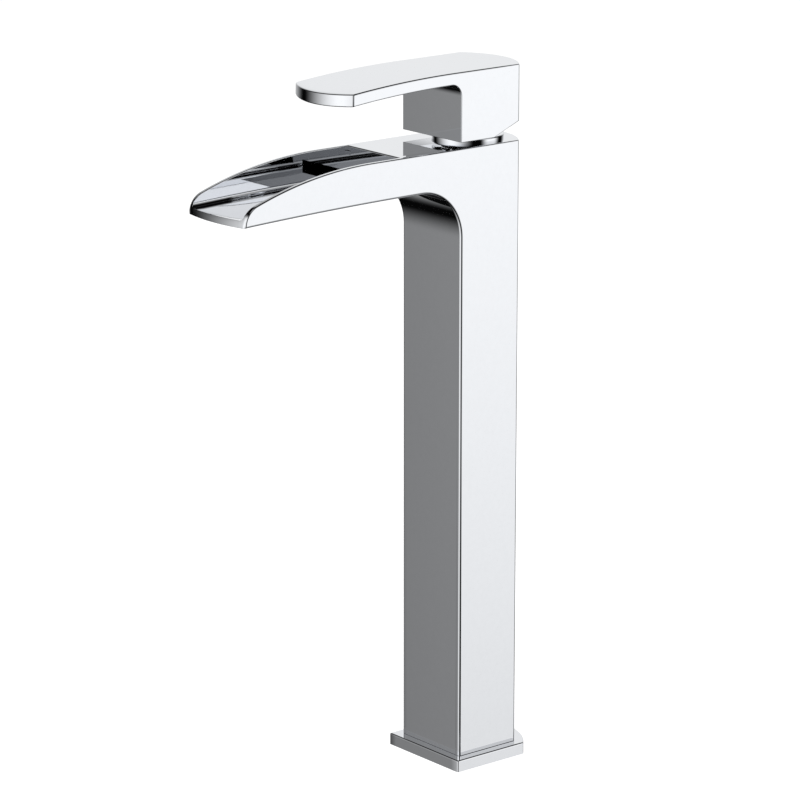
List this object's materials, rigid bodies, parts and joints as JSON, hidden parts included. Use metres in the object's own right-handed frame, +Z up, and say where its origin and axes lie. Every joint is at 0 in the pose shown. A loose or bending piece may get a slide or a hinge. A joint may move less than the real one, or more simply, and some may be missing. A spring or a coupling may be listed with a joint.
{
  "type": "tall basin mixer",
  "caption": "Tall basin mixer with a square column, an open waterfall spout and a flat lever that lifts for flow and turns for temperature.",
  "frame": {"origin": "on the column's axis, at the worktop that the base plate stands on", "axes": "+Z up the column, -Y along the spout, +X across the column"},
  "size_m": [0.0486, 0.1638, 0.3169],
  "materials": {
    "chrome": "polished",
    "brass": "machined",
    "copper": "drawn tube",
    "steel": "bright",
    "rubber": "matt",
    "cartridge_shell": "moulded",
    "slider_plastic": "moulded",
    "ceramic": "lapped"
  },
  "bodies": {
    "mixer": {"body": "chrome", "base_plate": "chrome", "base_gasket": "rubber", "foot_block": "brass", "foot_screws": "steel", "hot_riser": "copper", "cold_riser": "copper", "port_gasket": "rubber", "cartridge_base": "cartridge_shell", "cartridge_housing": "cartridge_shell", "fixed_disc": "ceramic", "retaining_nut": "brass", "cap_ring": "chrome"},
    "turning_yoke": {"yoke": "slider_plastic", "pivot_pin": "steel"},
    "lever": {"stem": "steel", "handle": "chrome", "handle_screw": "steel", "screw_plug": "chrome"},
    "mixing_slide": {"moving_disc": "ceramic", "disc_carrier": "slider_plastic"}
  },
  "joints": [
    {"name": "temperature_turn", "type": "hinge", "parent": "mixer", "child": "turning_yoke", "pos_m": [0, 0, 0.271], "axis": [0, 0, 1], "range_deg": [-45, 45]},
    {"name": "lever_lift", "type": "hinge", "parent": "turning_yoke", "child": "lever", "pos_m": [0, 0, 0.271], "axis": [-1, 0, 0], "range_deg": [0, 22]},
    {"name": "disc_slide", "type": "slide", "parent": "turning_yoke", "child": "mixing_slide", "axis": [0, -1, 0], "range_m": [0, 0.0043]}
  ],
  "couplings": [
    {"joint": "disc_slide", "follows": "lever_lift", "m_per_rad": 0.01115}
  ]
}
